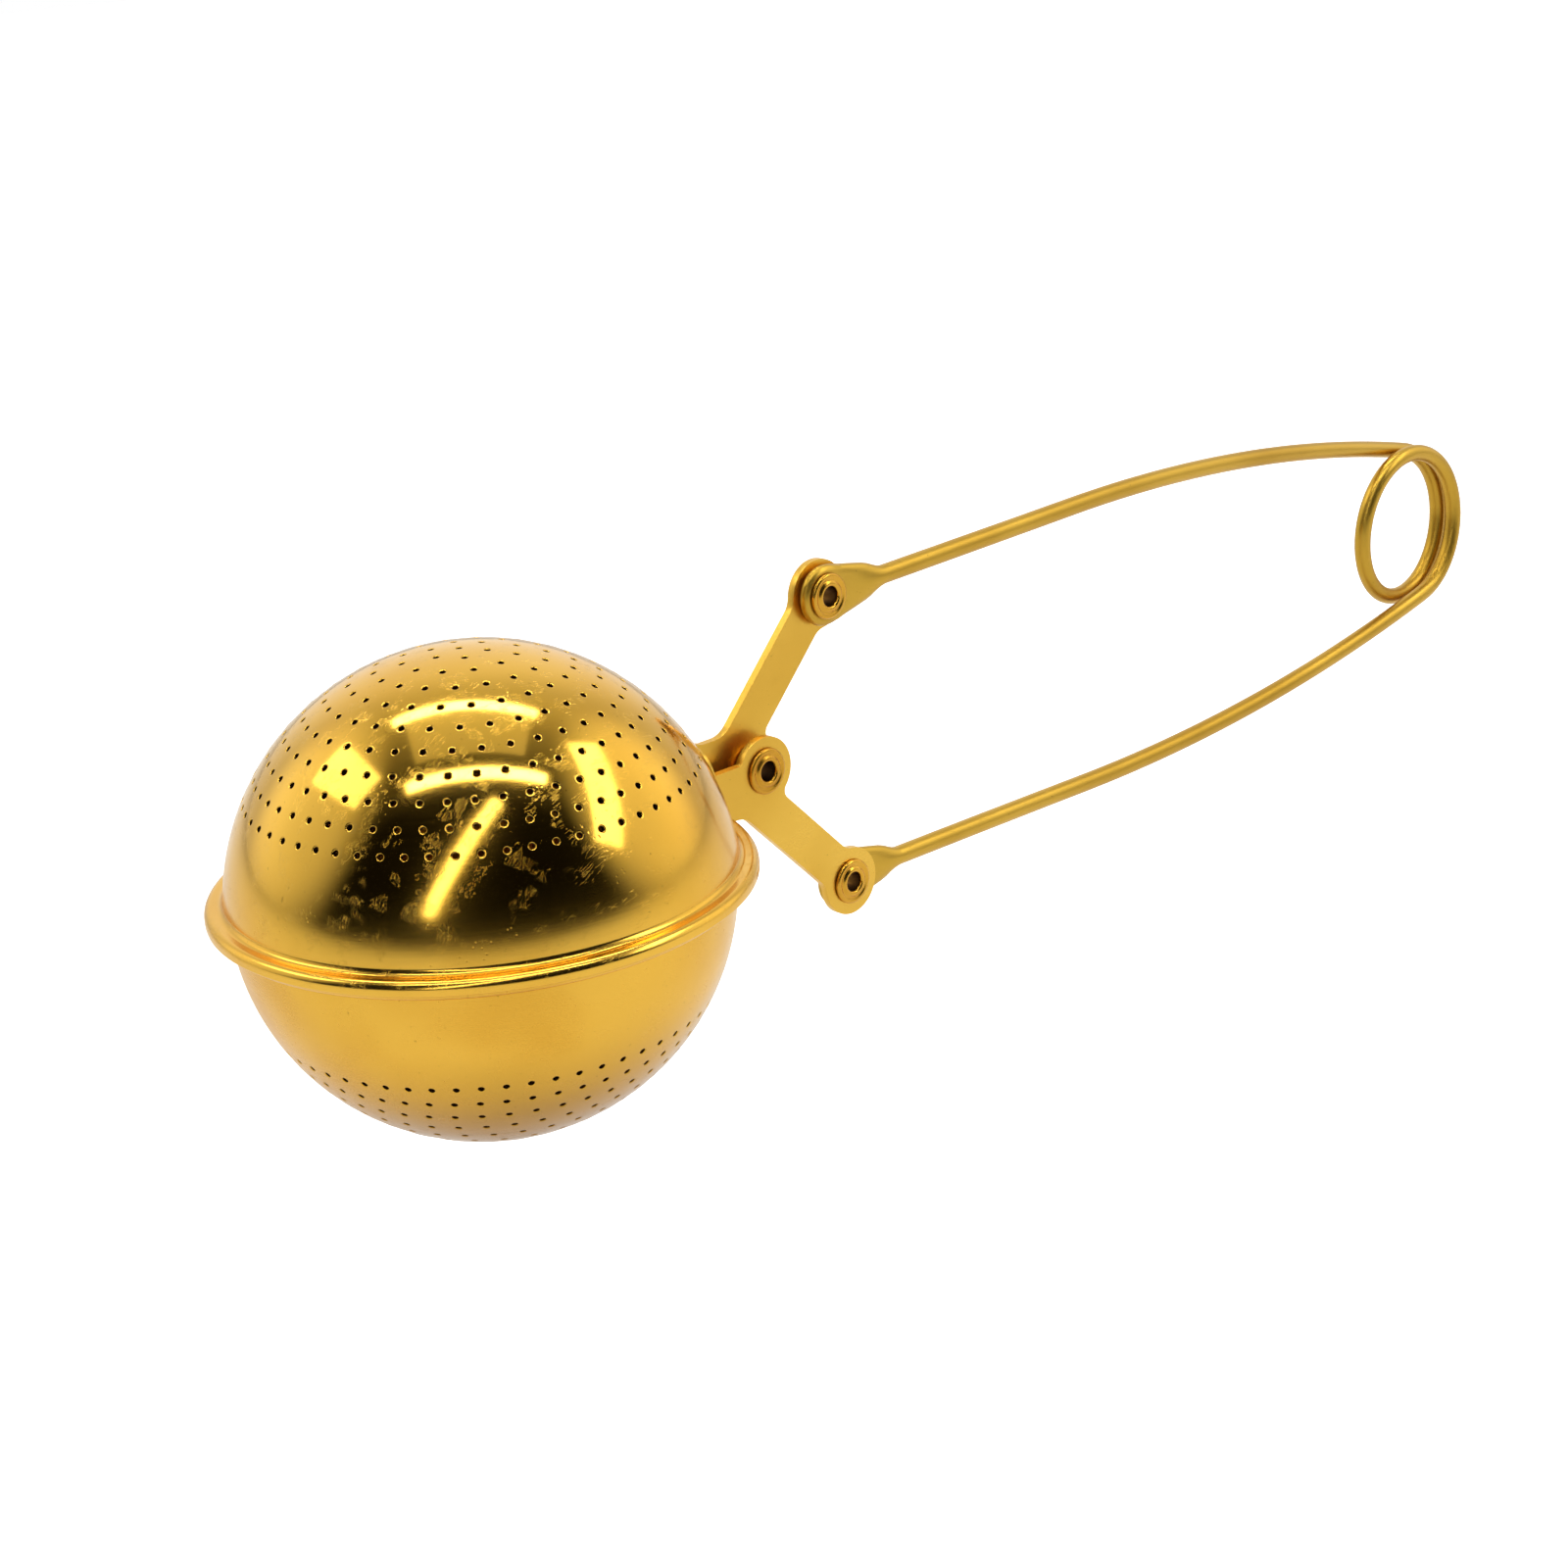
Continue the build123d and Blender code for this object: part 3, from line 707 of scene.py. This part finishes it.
POLISHED = gold("polished_gold", (0.87, 0.51, 0.070), (0.80, 0.44, 0.050), 0.11, 0.025, "turned", 0.0014,
                scratches=0.0035, pits=0.006, rim=(9.0, 3.0, 0.20))
# The lower bowl's gold carries painted shade, darker towards its pole.
DRAWN = gold("drawn_gold", (0.86, 0.50, 0.066), (0.76, 0.41, 0.045), 0.25, 0.05, "turned", 0.0030,
             scratches=0.002, pits=0.008, pole_shade=(-6.0, -19.0, (0.30, 0.135, 0.022), 0.80))
PLATE = gold("plate_gold", (0.83, 0.51, 0.078), (0.75, 0.44, 0.058), 0.32, 0.05, "long", 0.0030,
             scratches=0.002)
RIVET = gold("rivet_gold", (0.72, 0.39, 0.045), (0.60, 0.30, 0.030), 0.24, 0.05, None, 0.0025, pits=0.004)
WIRE = gold("wire_gold", (0.64, 0.39, 0.050), (0.55, 0.32, 0.036), 0.38, 0.05, "long", 0.0040,
            scratches=0.002)
# Painted shade: dark brown gold for the bowls' hole walls, so that the holes read as shaded.
HOLE_WALL_SHADE = gold("hole_wall_painted_shade", (0.20, 0.09, 0.015), (0.10, 0.045, 0.010), 0.45, 0.05, None, 0.002)
# Painted shade: dark brown gold for the rivet bores, so that the hollow rivets read as shaded inside.
BORE_SHADE = gold("rivet_bore_painted_shade", (0.16, 0.075, 0.014), (0.08, 0.035, 0.008), 0.40, 0.05, None, 0.002)

# ---- pieces --------------------------------------------------------------------------------------


def place(piece, node, body, slot):
    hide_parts(node)
    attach(piece, body)


place(upper_bowl(POLISHED, HOLE_WALL_SHADE), "upper_bowl", "upper_jaw", "polished_gold")
place(lower_bowl(DRAWN, HOLE_WALL_SHADE), "lower_bowl", "lower_jaw", "polished_gold")

outer = LEVER_GAP / 2 + LEVER_SHEET + FACE_GAP
flat_side = PADDLE_THICKNESS / 2 + FACE_GAP
between = LEVER_GAP / 2 - FACE_GAP
end_x = PIVOT_X + END_X
place(rivet("pivot_rivet_turned", PIVOT_X, PIVOT_Z, -outer, outer, (-between, between)),
      "pivot_rivet", "lower_jaw", "satin_gold")
place(rivet("upper_rivet_turned", end_x, PIVOT_Z + END_Z, -flat_side, outer),
      "upper_rivet", "upper_jaw", "satin_gold")
place(rivet("lower_rivet_turned", end_x, PIVOT_Z - END_Z, -outer, flat_side),
      "lower_rivet", "lower_jaw", "satin_gold")

wire = spring_wire(WIRE)
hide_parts("upper_spring_arm", "lower_spring_arm")
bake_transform(wire)

EDGE_WIDTH, EDGE_ANGLE = 0.13, 40  # mm of a lever's soft edges, and degrees from which an edge gets one

for node in ("upper_lever", "lower_lever"):
    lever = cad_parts[node]
    lever.data.materials.clear()
    lever.data.materials.append(PLATE)
    weld = lever.modifiers.new("weld", "WELD")
    weld.merge_threshold = 1e-6
    soft = lever.modifiers.new("soft_edges", "BEVEL")
    soft.width = EDGE_WIDTH * MM
    soft.segments = 3
    soft.limit_method = "ANGLE"
    soft.angle_limit = math.radians(EDGE_ANGLE)
    soft.harden_normals = True

# ---- floor, lights and camera --------------------------------------------------------------------

# The floor is level, and low enough for the squeezed handle, which swings down below the ball, to clear it.
FLOOR_Z = -60.0
FLOOR_HALF = 3000.0
FLOOR_WHITENING = 0.65
corners = [(sx * FLOOR_HALF, sy * FLOOR_HALF, 0) for sx, sy in ((-1, -1), (1, -1), (1, 1), (-1, 1))]
pale = Shader("pale_floor")
pale.surface.inputs["Roughness"].default_value = 0.55
pale.surface.inputs["Base Color"].default_value = (0.9, 0.9, 0.9, 1)
pale.surface.inputs["Emission Color"].default_value = (1, 1, 1, 1)
# The camera sees the floor whitened. The object doesn't: its reflections see only the light that falls there.
white_out = pale.math("MULTIPLY", pale.node("ShaderNodeLightPath").outputs["Is Camera Ray"], FLOOR_WHITENING)
pale.link(white_out, "Emission Strength")
floor = new_mesh("floor", corners, [(0, 1, 2, 3)], material=pale.material)
floor.location = (0, 0, FLOOR_Z * MM)

CAMERA_AT = Vector((-0.13004, -0.17898, 0.08459))
AIM = Vector((0.04592, 0.01028, -0.00588))
ROLL = math.radians(-3.906)
LENS, SENSOR = 61.96, 36.0


def towards(azimuth, elevation):
    """Unit vector: azimuth in degrees from +X towards +Y, elevation up from level."""
    a, e = math.radians(azimuth), math.radians(elevation)
    return Vector((math.cos(e) * math.cos(a), math.cos(e) * math.sin(a), math.sin(e)))


world = bpy.data.worlds.new("studio")
bpy.context.scene.world = world
world.use_nodes = True
tree = world.node_tree
background = tree.nodes["Background"]
far = AIM - CAMERA_AT
far = Vector((far.x, far.y, 0)).normalized()  # level, away from where the camera stands in the main view
seen = tree.nodes.new("ShaderNodeLightPath").outputs["Is Camera Ray"]
direction = tree.nodes.new("ShaderNodeTexCoord").outputs["Generated"]
dot = tree.nodes.new("ShaderNodeVectorMath")
dot.operation = "DOT_PRODUCT"
tree.links.new(direction, dot.inputs[0])
dot.inputs[1].default_value = far
ramp = tree.nodes.new("ShaderNodeValToRGB")
span = tree.nodes.new("ShaderNodeMapRange")
span.inputs["From Min"].default_value = -1.0
tree.links.new(dot.outputs["Value"], span.inputs["Value"])
tree.links.new(span.outputs["Result"], ramp.inputs["Fac"])
stops = ((0.0, 0.003), (0.28, 0.006), (0.44, 0.09), (0.60, 0.30), (0.75, 0.60), (1.0, 0.80))
while len(ramp.color_ramp.elements) < len(stops):
    ramp.color_ramp.elements.new(0.5)
for element, (at, level) in zip(ramp.color_ramp.elements, stops):
    element.position = at
    element.color = (level, level * 0.98, level * 0.95, 1)
choose = tree.nodes.new("ShaderNodeMix")
choose.data_type = "RGBA"
tree.links.new(seen, choose.inputs["Factor"])
glow = ramp.outputs["Color"]
for azimuth, elevation, level in ((128, 26, 0.62), (-32, 24, 0.72), (54, 22, 0.25)):
    facing = tree.nodes.new("ShaderNodeVectorMath")
    facing.operation = "DOT_PRODUCT"
    tree.links.new(direction, facing.inputs[0])
    facing.inputs[1].default_value = towards(azimuth, elevation)
    lobe = tree.nodes.new("ShaderNodeMapRange")
    lobe.interpolation_type = "SMOOTHSTEP"
    lobe.inputs["From Min"].default_value = 0.78
    lobe.inputs["From Max"].default_value = 0.97
    lobe.inputs["To Max"].default_value = level
    tree.links.new(facing.outputs["Value"], lobe.inputs["Value"])
    both = tree.nodes.new("ShaderNodeVectorMath")
    both.operation = "ADD"
    tree.links.new(glow, both.inputs[0])
    tree.links.new(lobe.outputs["Result"], both.inputs[1])
    glow = both.outputs["Vector"]
tree.links.new(glow, choose.inputs[6])
choose.inputs[7].default_value = (1, 1, 1, 1)
tree.links.new(choose.outputs[2], background.inputs["Color"])


def panel(name, start, end, width, level, distance=1.2):
    """Soft box facing the ball, as a strip between two directions.

    width and distance are in metres, and level is how bright the box looks.
    """
    first, last = towards(*start) * distance, towards(*end) * distance
    at = (first + last) / 2
    length = (last - first).length
    light = bpy.data.lights.new(name, "AREA")
    light.shape = "RECTANGLE"
    light.size, light.size_y = length, width
    light.energy = level * math.pi * length * width
    obj = bpy.data.objects.new(name, light)
    bpy.context.scene.collection.objects.link(obj)
    x_axis = (last - first).normalized()
    z_axis = (at - x_axis * at.dot(x_axis)).normalized()
    basis = Matrix((x_axis, z_axis.cross(x_axis), z_axis)).transposed()
    obj.matrix_world = Matrix.Translation(at) @ basis.to_4x4()


panel("overhead_back", (99, 58), (4, 61), 0.105, 9.0)
panel("overhead", (125, 69), (-22, 69), 0.46, 0.42)
panel("overhead_front", (172, 61), (-64, 58), 0.10, 9.0)
panel("left_box", (112, 37), (150, 50), 0.30, 2.2)
panel("right_box", (-20, 50), (-62, 24), 0.26, 3.2)
panel("streak", (-108, 60), (-152, 13), 0.10, 5.0)

camera_data = bpy.data.cameras.new("camera")
camera_data.sensor_width = SENSOR
camera_data.lens = LENS
camera_data.clip_start = 0.01
camera = bpy.data.objects.new("camera", camera_data)
bpy.context.scene.collection.objects.link(camera)
back = (CAMERA_AT - AIM).normalized()
level_right = Vector((0, 0, 1)).cross(back).normalized()
basis = Matrix((level_right, back.cross(level_right), back)).transposed() @ Matrix.Rotation(ROLL, 3, "Z")
camera.matrix_world = Matrix.Translation(CAMERA_AT) @ basis.to_4x4()
bpy.context.scene.camera = camera
bpy.context.scene.view_settings.view_transform = "Standard"
